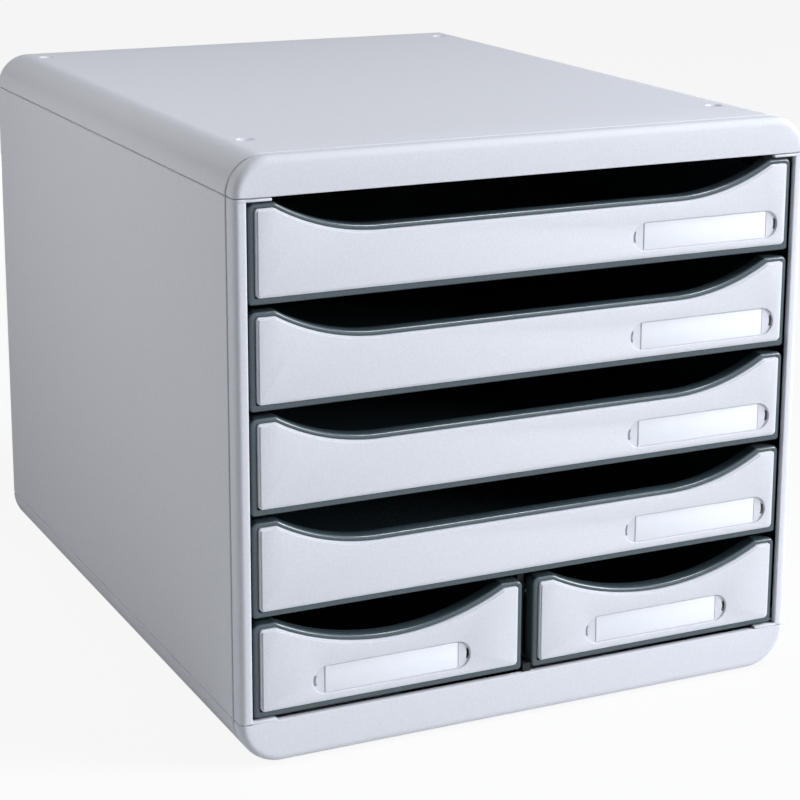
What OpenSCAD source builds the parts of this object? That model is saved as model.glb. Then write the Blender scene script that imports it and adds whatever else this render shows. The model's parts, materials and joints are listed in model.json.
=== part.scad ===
// Desktop file drawer: an A4 cabinet with four full-width and two half-width drawers.
// Millimetres. X points right, Y points back (the drawer fronts face -Y) and Z points up.
// The origin is the centre of the footprint, on the desk.

/* [Case] */
// Outside width of the case
case_w = 285; // [262:1:310]
// Outside depth of the case
case_d = 356; // [330:1:390]
// Outside height of the case, without its feet
case_h = 271; // [250:1:300]
// Wall thickness of the covers and the sides
wall = 2.6; // [2.2:0.1:3.2]
// Height of the top cover, which is the radius of its long edges
top_r = 17; // [15:0.5:20]
// Height of the bottom cover, which is the radius of its long edges
base_r = 20; // [17:0.5:22]
// Rounding of the case's front edge
front_r = 3.5; // [2:0.25:5]
// Thickness of the case's front faces
face_t = 3; // [2.5:0.1:4]
// Width of the collar in front of the groove
collar_w = 8; // [7:0.25:12]
// Width of the groove behind the collar
groove_w = 1.2; // [0.6:0.1:1.5]
// Depth of the groove behind the collar
groove_d = 1.1; // [1.1:0.1:1.4]
// Chamfer on the seams between the covers and the sides
seam_c = 0.8; // [0.4:0.1:1]

/* [Jambs] */
// Width of the side panels' front faces
jamb_w = 5.85; // [5:0.05:8]
// Length of the tabs at the ends of the jambs
tab_l = 11.5; // [8:0.5:16]
// Thickness of those tabs
tab_t = 1.2; // [0.8:0.1:1.5]
// Gap between a tab and the top cover
tab_gap = 0.3; // [0.1:0.1:0.4]

/* [Side clips] */
// Length of the tongues that hold the covers and sides in line
tongue_l = 30; // [15:1:50]
// Thickness of a tongue
tongue_t = 1.5; // [1:0.1:1.6]
// How far a tongue reaches past its seam
tongue_h = 3; // [2:0.5:4]
// Height of the root that carries a tongue
root_h = 5; // [4:0.5:6]
// Distance of the end tongues from the front and the back
tongue_end = 70; // [40:1:120]
// Clearance between a tongue and the cover
tongue_gap = 0.7; // [0.6:0.05:1]

/* [Rear] */
// Thickness of the rear panel
rear_t = 2.6; // [2:0.1:3]
// Depth of the rim behind the rear panel
rear_inset = 2; // [1:0.5:5]
// Height of the rib that the rear panel stops against
rib_h = 1.5; // [1:0.1:1.5]
// Thickness of that rib
rib_t = 2; // [1.5:0.1:3]
// Rounding of the case's rear edge
rear_r = 0.6; // [0.3:0.1:1]
// Gap between fixed pieces that are pushed into each other
seat_gap = 0.2; // [0.1:0.05:0.3]

/* [Stacking] */
// Height of the feet under the case
foot_h = 1.2; // [0.8:0.1:1.4]
// Radius of a foot where it meets the case
foot_r = 3.8; // [3:0.1:5]
// Radius of a foot's flat bottom
foot_tip_r = 2; // [1.5:0.1:2.5]
// Radius of the stud that holds a foot in the case
stud_r = 1.9; // [1.2:0.1:2]
// Gap between a stud and its hole
stud_gap = 0.05; // [0.02:0.01:0.1]
// Distance of the feet and dimples from the sides
foot_x = 23; // [21:0.5:30]
// Distance of the front feet and dimples from the front
foot_y_front = 44; // [30:1:60]
// Distance of the rear feet and dimples from the back
foot_y_rear = 17; // [12:1:30]
// Depth of the dimples in the top
dimple_d = 1.4; // [1:0.1:1.6]
// How much wider a dimple is than the foot that stands in it
dimple_gap = 0.3; // [0.2:0.05:0.5]

/* [Drawer rows] */
// Gap between the bottom cover and the lowest drawers
gap_low = 1.6; // [1.5:0.1:2.5]
// Gap between two rows
gap_row = 2.9; // [2:0.1:4]
// Gap between the top drawer and the top cover
gap_top = 2.6; // [2.4:0.1:4]
// Gap between a drawer front and a jamb
gap_side = 1.35; // [0.8:0.05:2]
// Gap between the two half-width fronts
gap_half = 5.6; // [5:0.1:7]
// How far the drawer rims stand behind the case's front
rim_inset = 1.5; // [0.5:0.1:2.5]

/* [Drawer fronts] */
// Width of the charcoal border at the sides of a facing
border_w = 2.7; // [2.4:0.1:3.5]
// Width of that border under the facing
border_low = 3.1; // [2.4:0.1:4]
// Width of that border over the facing and along the scoop
border_top = 2.1; // [1.8:0.1:3]
// Depth of the rim at the top of a front
rim_d = 7.5; // [6:0.1:9]
// Corner radius at the top of a front
corner_top_r = 3; // [2:0.1:3]
// Corner radius at the bottom of a front
corner_low_r = 1.6; // [1.3:0.1:2.5]
// Depth of the finger scoop in a full-width front
scoop_d = 13.5; // [10:0.5:16]
// Radius of that scoop's two ends
scoop_r = 95; // [70:1:120]
// Rounding where the scoops meet the high lands
scoop_end_r = 2.6; // [2:0.1:5]
// Width of the high land at each end of a full-width front
land_w = 12; // [9:0.1:20]
// Depth of the arc in a half-width front
arc_d = 13.7; // [10:0.1:16]
// Width of the high land at each end of a half-width front
arc_land_w = 10.9; // [9:0.1:20]

/* [Trays] */
// How far the tray's side and rear walls end below the top of its front
wall_drop = 7.4; // [7:0.2:12]
// Thickness of the tray's walls and floor
tray_t = 1.8; // [1.5:0.1:2.2]
// How far the tray's side walls stand inside its front
tray_step = 2.4; // [2.2:0.1:3]
// Corner radius at the back of a tray
tray_r = 6; // [3:0.5:10]
// Space between the back of a tray and the rear panel
tray_back = 5.4; // [5.2:0.1:12]
// Height of the tray's floor over the bottom of its front
floor_lift = 0.6; // [0.4:0.1:1]
// Thickness of the backing that closes a tray at the front
back_t = 2; // [1.6:0.1:2.4]

/* [Runners] */
// How far a drawer slides out before its lugs meet the stops
travel = 260; // [150:5:270]
// Thickness of the runner plates
runner_t = 1.5; // [1.2:0.1:1.5]
// Thickness of the ledges and guides
ledge_t = 1.8; // [1.4:0.1:2]
// Thickness of the rail along each side of a tray
rail_t = 1.8; // [1.4:0.1:2]
// Running clearance between a rail and its ledge
run_gap = 0.3; // [0.2:0.05:0.4]
// Gap between a rail and the guide over it
guide_gap = 0.5; // [0.4:0.05:0.6]
// Gap between a rail and a jamb
rail_gap = 0.65; // [0.5:0.05:0.8]
// Gap between a ledge and the wall of the tray beside it
ledge_clear = 0.7; // [0.5:0.05:0.9]
// Gap between the drawer fronts and the runners behind them
track_gap = 0.6; // [0.4:0.1:1]
// Distance from the runner plates to the case's seams
plate_edge = 7; // [5.5:0.5:7.5]
// Height of the stop lugs over the rails
lug_h = 2; // [1:0.1:2]
// Length of a stop lug
lug_l = 6; // [4:0.5:10]
// How much further a half-width tray's wall stands from the partition than a rail's width
part_step = 0.6; // [0.3:0.1:1.5]
// Thickness of the partition between the half-width drawers
part_t = 3.2; // [2.6:0.1:3.4]
// Width and height of the partition's foot
part_foot = 4; // [3.6:0.1:4.2]
// Length of the partition's foot
part_foot_l = 12; // [10:0.5:20]
// How far that foot stands behind the case's front
part_foot_inset = 1.7; // [1:0.1:2]

/* [Facings] */
// Gap between a facing and the border round it
facing_gap = 0.15; // [0.1:0.05:0.3]
// Thickness of a facing
facing_t = 3.2; // [2.8:0.1:3.6]
// Thickness of the skirt behind a facing's edge
skirt_t = 1.8; // [1.4:0.1:2.2]
// Radius of a facing's upper corners
facing_top_r = 1.2; // [0.8:0.1:1.6]
// Radius of a facing's lower corners
facing_low_r = 2; // [1:0.1:3]
// Rounding where a facing's scoop meets its high lands
facing_end_r = 1.9; // [1:0.1:3]
// Width of the step round a facing's face
step_w = 0.8; // [0.5:0.1:1.2]
// Depth of that step
step_d = 0.6; // [0.3:0.1:1]

/* [Label windows] */
// Length of a label window
label_l = 77.8; // [60:0.2:90]
// Height of a label window
label_h = 13.4; // [11:0.1:15]
// Height of the window's middle over the bottom of the front
label_z = 13.3; // [11:0.1:15]
// Distance from the end of a window to its card
card_end = 6.2; // [5:0.1:8]
// Depth of a window's recess
label_d = 2; // [1.6:0.1:2.2]
// Depth of the window's face under the facing's face
window_inset = 0.5; // [0.3:0.1:0.8]
// Gap between a window and the edge of its recess
window_gap = 0.1; // [0.05:0.05:0.2]
// Thickness of the paper card
card_t = 0.4; // [0.3:0.1:0.5]
// Distance from the card to the window's long edges
card_edge = 0.6; // [0.4:0.1:1.5]
// Width of the half-moon slots at the window's ends
slot_w = 1.8; // [1.2:0.1:2.4]
// Height of those slots
slot_h = 6.6; // [5:0.2:8]
// Distance from a slot to the edge of the recess
slot_edge = 0.8; // [0.5:0.1:1.2]
// Distance from a full-width facing's edge to its window
label_edge = 4.5; // [2:0.5:30]

/* [Hidden] */
$fn = 64;

// Colours
shell_grey = [0.80, 0.81, 0.84];
charcoal = [0.30, 0.32, 0.35];
black = [0.06, 0.06, 0.07];
clear = [0.95, 0.97, 0.98, 0.4];
paper = [0.97, 0.98, 0.99];

// How far a cutter passes the face it cuts, and how far joined solids reach into each other
over = 1;
join = 0.01;
// Smallest radius that a corner drawn inset keeps
least_r = 0.2;

// Case levels
x_out = case_w / 2;
y_front = -case_d / 2;
y_back = case_d / 2;
z_base = foot_h;
z_lo = z_base + base_r;
z_top = z_base + case_h;
z_hi = z_top - top_r;
y_panel = y_back - rear_inset - rear_t;
y_rib = y_panel - rib_t;

// Drawer rows: row 0 holds the half-width drawers and row 4 is at the top
rows_full = 4;
drawer_h = (z_hi - z_lo - gap_low - gap_top - rows_full * gap_row) / (rows_full + 1);
pitch = drawer_h + gap_row;
tray_h = drawer_h - wall_drop;
full_w = case_w - 2 * jamb_w - 2 * gap_side;
half_w = (full_w - gap_half) / 2;
half_x = (gap_half + half_w) / 2;
y_rim = y_front + rim_inset;
y_rim_back = y_rim + rim_d;
y_tray = y_panel - tray_back;
arc_half = half_w / 2 - arc_land_w;
arc_r = (arc_half * arc_half + arc_d * arc_d) / (2 * arc_d);
function row_z(row) = z_lo + gap_low + row * pitch;

// A front is [width, scoop depth, scoop radius, half width of the straight bottom of the scoop]
full_front = [full_w, scoop_d, scoop_r,
    full_w / 2 - land_w - sqrt(pow(scoop_r, 2) - pow(scoop_r - scoop_d, 2))];
half_front = [half_w, arc_d, arc_r, 0];

// Insets from a front's outline are [at the sides, at the bottom, along the top and the scoop]
border = [border_w, border_low, border_top];
facing_inset = widened(border, facing_gap);
function widened(insets, amount) = [for (i = insets) i + amount];

// Runners: the rails hang on ledges just inside the jambs
x_liner = x_out - wall - runner_t;
x_rail = x_out - jamb_w - rail_gap;
x_wall = full_w / 2 - tray_step;
x_ledge = x_wall + ledge_clear;
x_part = part_t / 2;
x_part_rail = x_part + ledge_clear;
rail_w = x_rail - x_wall;
x_part_wall = x_part_rail + rail_w + part_step;
x_part_ledge = x_part_wall - ledge_clear;
y_rail_end = y_tray - tray_r;
y_lug = y_rail_end - lug_l;
y_guide_end = y_lug - travel - run_gap;
y_runner = y_front + face_t + seat_gap;
y_runner_end = y_rib - run_gap;
y_track = y_rim_back + track_gap;

// The facing's skirt reaches back to the tray's backing
y_skirt = y_rim_back - back_t;

// ---------- Outlines and sweeps ----------

// Cuts a rounded edge at the origin of a section
module edge_round(r) {
    difference() {
        translate([-over, -over]) square(r + over);
        translate([r, r]) circle(r);
    }
}

// Runs a section along a straight line in the XZ plane. The section's X points into the
// material, to the right of the direction of travel, and its Y points back
module run_line(from, angle, len) {
    translate([from[0], from[1], from[2]])
        rotate([0, 90 - angle, 0])
            linear_extrude(len) children();
}

// Runs a section clockwise round a centre, starting at a polar angle; its X is the radius
module run_arc(centre, start, sweep) {
    translate(centre)
        rotate([0, -start, 0])
            rotate([-90, 0, 0])
                rotate_extrude(angle = sweep, $fn = 128) children();
}

// ---------- Case ----------

// Section through the case: X is the depth under the outer surface and Y runs to the back
module case_section(reach) {
    difference() {
        union() {
            square([wall, case_d]);
            square([reach, face_t]);
            translate([0, y_rib - y_front]) square([wall + rib_h, rib_t]);
        }
        edge_round(front_r);
        translate([-over, collar_w]) square([groove_d + over, groove_w]);
        translate([0, case_d]) mirror([0, 1]) edge_round(rear_r);
    }
}

// The same section, seen from the middle of a rounded long edge
module corner_section(r) {
    translate([r, 0]) mirror([1, 0]) case_section(r);
}

// A V-shaped cut along Y
module seam_cut(x, z) {
    translate([x, 0, z])
        rotate([90, 45, 0])
            cube([seam_c * sqrt(2), seam_c * sqrt(2), case_d + 2 * over], center = true);
}

module at_feet() {
    for (side = [-1, 1])
        for (y = [y_front + foot_y_front, y_back - foot_y_rear])
            translate([side * (x_out - foot_x), y, 0]) children();
}

module top_cover() {
    x_flat = x_out - top_r;
    color(shell_grey) difference() {
        union() {
            run_arc([-x_flat, y_front, z_hi], 180, 90) corner_section(top_r);
            run_line([-x_flat, y_front, z_top], 0, 2 * x_flat) case_section(top_r);
            run_arc([x_flat, y_front, z_hi], 90, 90) corner_section(top_r);
        }
        for (side = [-1, 1]) seam_cut(side * x_out, z_hi);
        at_feet() translate([0, 0, z_top - dimple_d])
            cylinder(h = dimple_d + join, r1 = foot_tip_r + dimple_gap, r2 = foot_r + dimple_gap);
    }
}

module bottom_cover() {
    x_flat = x_out - base_r;
    color(shell_grey) difference() {
        union() {
            run_arc([x_flat, y_front, z_lo], 0, 90) corner_section(base_r);
            run_line([x_flat, y_front, z_base], 180, 2 * x_flat) case_section(base_r);
            run_arc([-x_flat, y_front, z_lo], -90, 90) corner_section(base_r);
        }
        for (side = [-1, 1]) seam_cut(side * x_out, z_lo);
        at_feet() translate([0, 0, z_base - over])
            cylinder(h = wall + 2 * over, r = stud_r + stud_gap);
    }
}

// Feet: a shallow cone with a stud that is pushed into the bottom cover
module feet() {
    color(charcoal) at_feet() {
        cylinder(h = foot_h, r1 = foot_tip_r, r2 = foot_r);
        translate([0, 0, foot_h - join]) cylinder(h = wall + join, r = stud_r);
    }
}

// Side panel, drawn for the left
module side_panel() {
    x_jamb = -x_out + jamb_w;
    x_in = -x_out + wall;
    color(shell_grey) difference() {
        union() {
            run_line([-x_out, y_front, z_lo], 90, z_hi - z_lo) case_section(jamb_w);
            // Tabs that the ends of the jamb carry under and over the covers
            for (z = [z_lo, z_hi - tab_t - tab_gap])
                translate([x_jamb - over, y_front, z]) cube([tab_l + over, face_t, tab_t]);
            // Tongues at both seams
            for (y = [y_front + tongue_end, 0, y_back - tongue_end])
                for (end = [0, 1])
                    translate([0, y - tongue_l / 2, end * (z_lo + z_hi)]) mirror([0, 0, end]) {
                        translate([x_in - join, 0, z_lo])
                            cube([tongue_gap + tongue_t + join, tongue_l, root_h]);
                        translate([x_in + tongue_gap, 0, z_lo - tongue_h])
                            cube([tongue_t, tongue_l, tongue_h + root_h]);
                    }
        }
        seam_cut(-x_out, z_lo);
        seam_cut(-x_out, z_hi);
    }
}

module left_side() {
    side_panel();
}

module right_side() {
    mirror([1, 0, 0]) side_panel();
}

// Rear panel: stops against the rib that runs round inside the case
module rear_panel() {
    x_in = x_out - wall - seat_gap;
    top_in = top_r - wall - seat_gap;
    low_in = base_r - wall - seat_gap;
    color(shell_grey) translate([0, y_panel + rear_t, 0]) rotate([90, 0, 0])
        linear_extrude(rear_t) {
            translate([-x_in, z_lo]) square([2 * x_in, z_hi - z_lo]);
            for (side = [-1, 1]) {
                translate([side * (x_out - top_r), z_hi]) circle(top_in);
                translate([side * (x_out - base_r), z_lo]) circle(low_in);
            }
            translate([top_r - x_out, z_hi - over]) square([2 * (x_out - top_r), top_in + over]);
            translate([base_r - x_out, z_lo - low_in])
                square([2 * (x_out - base_r), low_in + over]);
        }
}

// ---------- Runners ----------

// Ledge, front guide and rear stop for one rail. They stand on a plate at x_from and reach to x_to
module track(row, x_from, x_to) {
    z_rail = row_z(row) + tray_h;
    z_ledge = z_rail - rail_t - run_gap - ledge_t;
    x_min = min(x_from, x_to);
    w = abs(x_to - x_from);
    translate([x_min, y_track, z_ledge]) cube([w, y_runner_end - y_track, ledge_t]);
    translate([x_min, y_track, z_rail + guide_gap]) cube([w, y_guide_end - y_track, ledge_t]);
    translate([x_min, y_rail_end + run_gap, z_ledge])
        cube([w, y_runner_end - y_rail_end - run_gap, ledge_t + run_gap + rail_t]);
}

module runner_frame() {
    color(black) union() {
        translate([-x_liner - runner_t, y_runner, z_lo + plate_edge])
            cube([runner_t, y_runner_end - y_runner, z_hi - z_lo - 2 * plate_edge]);
        for (row = [0 : rows_full]) track(row, -x_liner - join, -x_ledge);
    }
}

module left_runners() {
    runner_frame();
}

module right_runners() {
    mirror([1, 0, 0]) runner_frame();
}

// Partition between the half-width drawers. It starts behind their rims, and only its foot
// shows between them
module centre_partition() {
    z_floor = z_base + wall;
    z_end = row_z(0) + drawer_h;
    color(black) union() {
        translate([-x_part, y_rim_back, z_floor])
            cube([part_t, y_runner_end - y_rim_back, z_end - z_floor]);
        translate([-part_foot / 2, y_front + part_foot_inset, z_lo])
            cube([part_foot, part_foot_l, part_foot]);
        for (side = [-1, 1]) track(0, side * (x_part - join), side * x_part_ledge);
    }
}

// ---------- Drawer fronts ----------

// The radii of a front's edge are [upper corners, lower corners, ends of the scoop]
function reduced(radii, amount) = [for (r = radii) max(r - amount, least_r)];

// Where the scoop's arc meets the round end of a land: the end's distance from the arc's
// centre line, and the angle that both arcs turn through
function scoop_end(front, inset, r_end) =
    let (rise = front[2] - front[1] + inset + r_end, reach = front[2] + inset + r_end)
        [sqrt(reach * reach - rise * rise), acos(rise / reach)];

// Outline of a front, drawn inset. The low edge of the outline without insets is at Y = 0
module front_outline(front, insets, radii) {
    w = front[0] / 2 - insets[0];
    low = insets[1];
    top = drawer_h - insets[2];
    rt = radii[0];
    rb = radii[1];
    difference() {
        union() {
            translate([rt - w, low + rb]) square([2 * (w - rt), top - low - rb]);
            translate([rb - w, low]) square([2 * (w - rb), top - low - rt]);
            translate([-w, low + rb]) square([2 * w, top - low - rt - rb]);
            for (side = [-1, 1]) {
                translate([side * (w - rt), top - rt]) circle(rt);
                translate([side * (w - rb), low + rb]) circle(rb);
            }
        }
        for (side = [0, 1]) mirror([side, 0]) scoop_cut(front, insets[2], radii[2]);
    }
}

// The right half of what the scoop takes out of the outline
module scoop_cut(front, inset, r_end) {
    top = drawer_h - inset;
    low = drawer_h - front[1] - inset;
    end = scoop_end(front, inset, r_end);
    x_low = front[3];
    dx = r_end * sin(end[1]);
    dz = r_end * (1 - cos(end[1]));
    if (x_low > 0) translate([-over, low]) square([x_low + over, front[1] + over]);
    translate([x_low, low + front[2] + inset]) circle(front[2] + inset, $fn = 256);
    difference() {
        translate([x_low + end[0] - dx, top - dz]) square([dx, dz + over]);
        translate([x_low + end[0], top - r_end]) circle(r_end);
    }
}

// Turns an outline drawn in X and Z into a plate
module plate(y_from, y_to) {
    translate([0, y_to, 0]) rotate([90, 0, 0]) linear_extrude(y_to - y_from) children();
}

// Charcoal front of a tray: the rim and border round a recess for the facing
module tray_front(front) {
    radii = [corner_top_r, corner_low_r, scoop_end_r];
    difference() {
        plate(y_rim, y_rim_back) front_outline(front, [0, 0, 0], radii);
        plate(y_rim - over, y_skirt) front_outline(front, border, reduced(radii, border_top));
    }
}

// ---------- Trays ----------

// Plan of a tray's body, drawn inset by a distance but open at the front
module tray_plan(x0, x1, inset) {
    y0 = y_rim_back - back_t / 2 - inset;
    y1 = y_tray - inset;
    r = tray_r - inset;
    translate([x0 + inset, y0]) square([x1 - x0 - 2 * inset, y1 - y0 - r]);
    translate([x0 + inset + r, y0]) square([x1 - x0 - 2 * inset - 2 * r, y1 - y0]);
    for (x = [x0 + inset + r, x1 - inset - r]) translate([x, y1 - r]) circle(r);
}

// Rail along one side of a tray, with the lug that stops the drawer
module rail(x0, x1) {
    w = x1 - x0;
    z0 = tray_h - rail_t;
    translate([x0, y_rim_back, z0]) cube([w, y_rail_end - y_rim_back, rail_t]);
    translate([x0, y_lug, z0]) cube([w, lug_l, rail_t + lug_h]);
}

module tray_body(x0, x1, rail0, rail1) {
    difference() {
        translate([0, 0, floor_lift]) linear_extrude(tray_h - floor_lift) tray_plan(x0, x1, 0);
        translate([0, 0, floor_lift + tray_t]) linear_extrude(tray_h) tray_plan(x0, x1, tray_t);
    }
    rail(rail0, x0 + tray_t / 2);
    rail(x1 - tray_t / 2, rail1);
}

module full_tray(row) {
    color(charcoal) translate([0, 0, row_z(row)]) union() {
        tray_front(full_front);
        tray_body(-x_wall, x_wall, -x_rail, x_rail);
    }
}

// Half-width tray, drawn for the left
module half_tray() {
    color(charcoal) translate([0, 0, row_z(0)]) union() {
        translate([-half_x, 0, 0]) tray_front(half_front);
        tray_body(-x_wall, -x_part_wall, -x_rail, -x_part_rail);
    }
}

// ---------- Facings and labels ----------

// Outline of a label window: a bar with round ends, centred on the origin
module window_outline(inset) {
    r = label_h / 2 - inset;
    x = label_l / 2 - label_h / 2;
    translate([-x, -r]) square([2 * x, 2 * r]);
    for (side = [-1, 1]) translate([side * x, 0]) circle(r);
}

// Half-moon slots at the two ends of a label window
module end_slots() {
    r = label_h / 2 - slot_edge;
    x = label_l / 2 - label_h / 2;
    for (side = [-1, 1])
        intersection() {
            difference() {
                translate([side * x, 0]) circle(r);
                translate([side * (x - slot_w), 0]) circle(r);
            }
            translate([side * label_l / 2 - label_h / 2, -slot_h / 2]) square([label_h, slot_h]);
        }
}

// Facing: the face stands forward of a stepped edge, and a skirt runs back from that edge
module facing(front, x_label) {
    radii = [facing_top_r, facing_low_r, facing_end_r];
    color(shell_grey) difference() {
        union() {
            plate(y_front + step_d, y_skirt) front_outline(front, facing_inset, radii);
            plate(y_front, y_front + step_d + join)
                front_outline(front, widened(facing_inset, step_w), reduced(radii, step_w));
        }
        plate(y_front + facing_t, y_skirt + over)
            front_outline(front, widened(facing_inset, skirt_t), reduced(radii, skirt_t));
        translate([x_label, 0, label_z]) {
            plate(y_front - over, y_front + label_d) window_outline(0);
            plate(y_front - over, y_front + facing_t + over) end_slots();
        }
    }
}

module label_window(x_label) {
    y0 = y_front + window_inset;
    y1 = y_front + label_d - card_t;
    color(clear) translate([x_label, 0, label_z]) difference() {
        plate(y0, y1) window_outline(window_gap);
        plate(y0 - over, y1 + over) end_slots();
    }
}

module label_card(x_label) {
    l = label_l - 2 * card_end;
    h = label_h - 2 * card_edge;
    color(paper) translate([x_label - l / 2, y_front + label_d - card_t, label_z - h / 2])
        cube([l, card_t, h]);
}

full_label_x = full_w / 2 - facing_inset[0] - label_edge - label_l / 2;

module full_facing(row) {
    translate([0, 0, row_z(row)]) facing(full_front, full_label_x);
}

module half_facing(side) {
    translate([side * half_x, 0, row_z(0)]) facing(half_front, 0);
}

module full_window(row) {
    translate([0, 0, row_z(row)]) label_window(full_label_x);
}

module half_window(side) {
    translate([side * half_x, 0, row_z(0)]) label_window(0);
}

module full_card(row) {
    translate([0, 0, row_z(row)]) label_card(full_label_x);
}

module half_card(side) {
    translate([side * half_x, 0, row_z(0)]) label_card(0);
}

top_cover();
bottom_cover();
left_side();
right_side();
rear_panel();
left_runners();
right_runners();
centre_partition();
feet();
full_tray(4);  // tray_1
full_tray(3);  // tray_2
full_tray(2);  // tray_3
full_tray(1);  // tray_4
half_tray();  // tray_left
mirror([1, 0, 0]) half_tray();  // tray_right
full_facing(4);  // facing_1
full_facing(3);  // facing_2
full_facing(2);  // facing_3
full_facing(1);  // facing_4
half_facing(-1);  // facing_left
half_facing(1);  // facing_right
full_window(4);  // label_window_1
full_window(3);  // label_window_2
full_window(2);  // label_window_3
full_window(1);  // label_window_4
half_window(-1);  // label_window_left
half_window(1);  // label_window_right
full_card(4);  // label_card_1
full_card(3);  // label_card_2
full_card(2);  // label_card_3
full_card(1);  // label_card_4
half_card(-1);  // label_card_left
half_card(1);  // label_card_right
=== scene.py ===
"""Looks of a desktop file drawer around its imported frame: a casing with six sliding drawers."""

import json
import math

import bmesh
import bpy
from mathutils import Matrix, Vector

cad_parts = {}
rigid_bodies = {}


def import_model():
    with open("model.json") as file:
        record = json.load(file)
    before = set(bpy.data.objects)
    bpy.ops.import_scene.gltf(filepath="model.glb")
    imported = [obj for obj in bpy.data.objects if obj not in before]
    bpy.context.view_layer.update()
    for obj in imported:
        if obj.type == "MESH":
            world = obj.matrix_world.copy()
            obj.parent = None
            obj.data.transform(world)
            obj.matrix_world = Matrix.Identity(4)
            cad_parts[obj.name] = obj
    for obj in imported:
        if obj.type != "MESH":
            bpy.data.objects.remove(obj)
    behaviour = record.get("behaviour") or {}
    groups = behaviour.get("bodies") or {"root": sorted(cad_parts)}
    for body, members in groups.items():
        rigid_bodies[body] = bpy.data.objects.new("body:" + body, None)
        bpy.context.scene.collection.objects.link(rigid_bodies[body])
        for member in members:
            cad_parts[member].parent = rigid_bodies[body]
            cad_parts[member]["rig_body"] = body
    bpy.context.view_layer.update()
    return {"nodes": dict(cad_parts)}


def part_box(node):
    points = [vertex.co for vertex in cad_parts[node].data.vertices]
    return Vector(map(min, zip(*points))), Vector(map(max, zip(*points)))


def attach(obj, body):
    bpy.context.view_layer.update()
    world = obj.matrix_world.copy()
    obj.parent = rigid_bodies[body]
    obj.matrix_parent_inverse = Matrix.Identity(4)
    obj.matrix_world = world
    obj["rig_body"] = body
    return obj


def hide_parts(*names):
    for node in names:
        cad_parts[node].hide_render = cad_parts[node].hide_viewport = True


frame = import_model()

# All sizes below are millimetres in the part's frame; meshes are scaled to metres when made.
MM = 0.001


def node_box(node):
    """Lowest and highest corner of a CAD node."""
    low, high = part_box(node)
    return low / MM, high / MM


# ---------- Sizes of the casing ----------

TOP_LOW, TOP_HIGH = node_box("top_cover")
BASE_LOW, BASE_HIGH = node_box("bottom_cover")
X_OUT = TOP_HIGH.x
Y_FRONT = TOP_LOW.y
Y_BACK = TOP_HIGH.y
Y_PANEL = node_box("rear_panel")[0].y
Z_TOP = TOP_HIGH.z
Z_HI = TOP_LOW.z
Z_LO = BASE_HIGH.z
Z_BASE = BASE_LOW.z
TOP_R = Z_TOP - Z_HI
BASE_R = Z_LO - Z_BASE
WALL = 2.6
FACE_T = 3.0
FRONT_R = 3.5
REAR_R = 0.6

# Groove that runs round the case behind its front collar
COLLAR_W = 8.0
GROOVE_W = 1.7
GROOVE_D = 2.0
GROOVE_R = 0.15
GROOVE_LIP_R = 0.5
UNDERCUT = 0.6

# Rib inside the case that the rear panel stands against
RIB_H = 1.5
RIB_T = 2.0

# Seams between the covers and the side panels, and the fine line across each jamb
SEAM_C = 0.4
SEAM_FRONT = 0.3
SEAM_GAP = 0.5
NOTCH_D = 0.3
NOTCH_H = 0.35

# Front bands and jambs, with the tabs at the jambs' ends. The section's flat front runs on past the
# front rounding by SECTION_REACH, and a band's lip ends LIP_REACH past it.
LIP_R = 0.4
JAMB_W = 5.85
JAMB_R = 0.6
TAB_L = 11.5
TAB_T = 1.2
TAB_GAP = 0.45
TAB_R = 0.35
TAB_SINK = 1.0
LIP_REACH = 3.0
SECTION_REACH = 1.0

# Tongues of the side panels, which reach behind the covers
TONGUE_L = 30.0
TONGUE_T = 1.5
TONGUE_H = 3.0
TONGUE_GAP = 0.7
TONGUE_END = 70.0
ROOT_H = 5.0
ROOT_SINK = 0.01

# Stacking dimples
FOOT_X = 23.0
FOOT_Y_FRONT = 44.0
FOOT_Y_REAR = 17.0
DIMPLE_D = 1.4
DIMPLE_R = 4.1
DIMPLE_TIP_R = 2.3
DIMPLE_SIDES = 48
CUTTER_RISE = 1.0

# ---------- Sizes of the drawers ----------

SETS = ["1", "2", "3", "4", "left", "right"]
# Insets from a front's outline are at the sides, at the bottom and along the top and the scoop
EVEN = Vector((1, 1, 1))
BORDER = Vector((2.7, 3.1, 2.1))
FACING_GAP = 0.15
FACING_INSET = BORDER + EVEN * FACING_GAP

# Outline of the fronts: full-width ones have a flat-bottomed scoop, half-width ones an arc
CORNER_TOP_R = 3.0
CORNER_LOW_R = 1.6
SCOOP_END_R = 2.6
LEAST_R = 0.2
SCOOP_D = 13.5
SCOOP_R = 95.0
LAND_W = 12.0
ARC_D = 13.7
ARC_LAND_W = 10.9
RIM_RADII = [CORNER_TOP_R, CORNER_LOW_R, SCOOP_END_R]
FACING_RADII = [1.2, 2.0, 1.9]

# Charcoal rim and border
RIM_INSET = 1.5
RIM_D = 7.5
RIM_R = 1.3
RIM_INNER_R = 0.4
RIM_BACK_R = 0.8
BACK_T = 2.0
Y_RIM = Y_FRONT + RIM_INSET
Y_RIM_BACK = Y_RIM + RIM_D
Y_SKIRT = Y_RIM_BACK - BACK_T

# Facings
FACING_T = 3.2
SKIRT_T = 1.8
FLANGE_W = 0.8
FLANGE_D = 0.5
FLANGE_R = 0.35
FACE_R = 0.3

# Trays. The section's underside runs on past its rounding by UNDER_REACH, and its floor runs on
# past the fillet by FLOOR_REACH.
WALL_DROP = 7.4
TRAY_T = 1.8
TRAY_STEP = 2.4
TRAY_R = 6.0
TRAY_LEAST_R = 0.3
TRAY_BACK = 5.4
FLOOR_LIFT = 0.6
FLOOR_FILLET = 2.5
TRAY_LOW_R = 1.2
TRAY_EDGE_R = 0.5
UNDER_REACH = 2.0
FLOOR_REACH = 1.0
RAIL_T = 1.8
RAIL_R = 0.3
RAIL_SINK = 0.5
RAIL_GAP = 0.65
LUG_L = 6.0
LUG_H = 2.0
PART_RAIL = 2.3
PART_WALL = 6.0

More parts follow.
